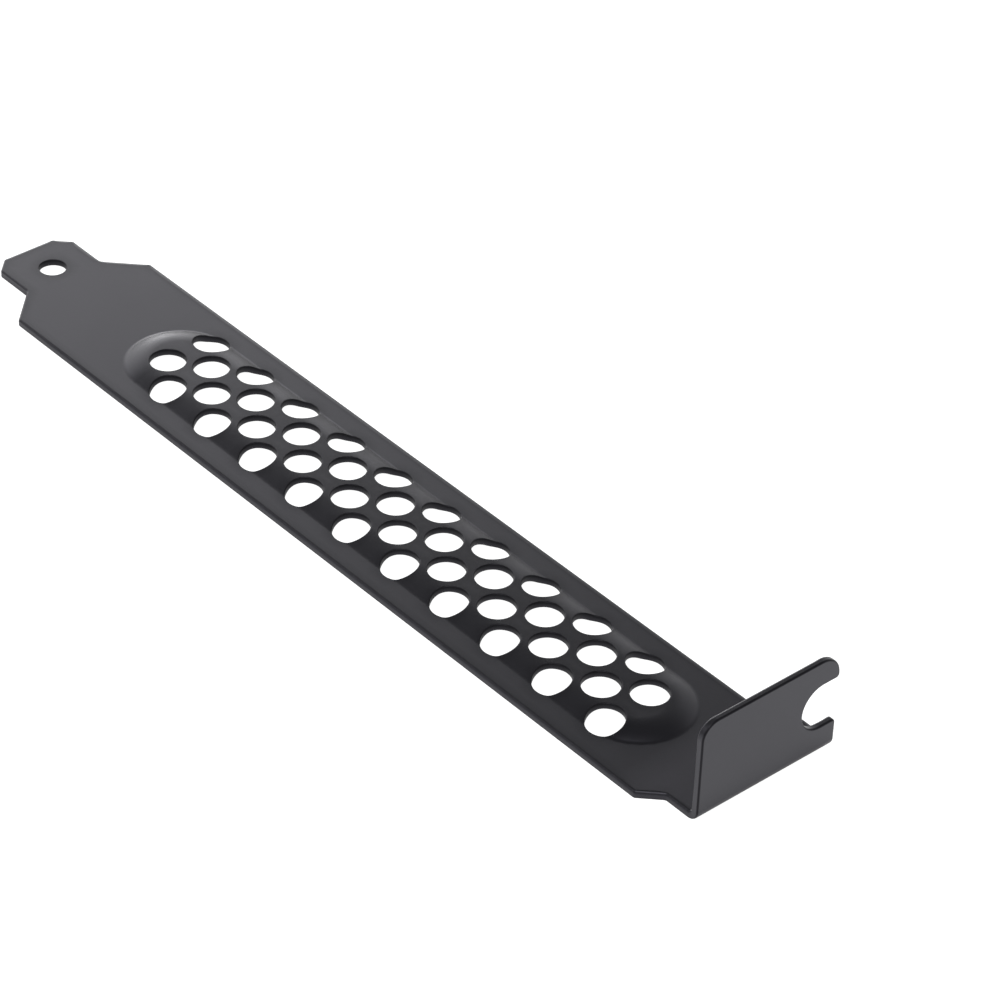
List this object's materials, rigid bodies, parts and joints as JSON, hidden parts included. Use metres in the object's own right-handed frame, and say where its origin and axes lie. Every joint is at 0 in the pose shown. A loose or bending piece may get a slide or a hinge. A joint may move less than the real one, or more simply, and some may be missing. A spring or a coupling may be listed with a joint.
{
  "type": "expansion slot cover",
  "caption": "Narrow sheet-metal slot cover with a raised perforated vent panel, a tapered tongue with a hole, and a bent screw flange with an open side slot.",
  "frame": {"origin": "centre of the bounding box in plan, in the plane of the strip's flat back face", "axes": "+X along the strip from the tongue to the screw flange, +Y the side to which the flange is offset and its slot opens, +Z the side to which the flange is bent and the panel is raised"},
  "size_m": [0.1208, 0.0206, 0.0121],
  "materials": {
    "black_coat": "satin black coat on sheet steel"
  },
  "bodies": {
    "root": {"slot_cover": "black_coat"}
  },
  "joints": []
}
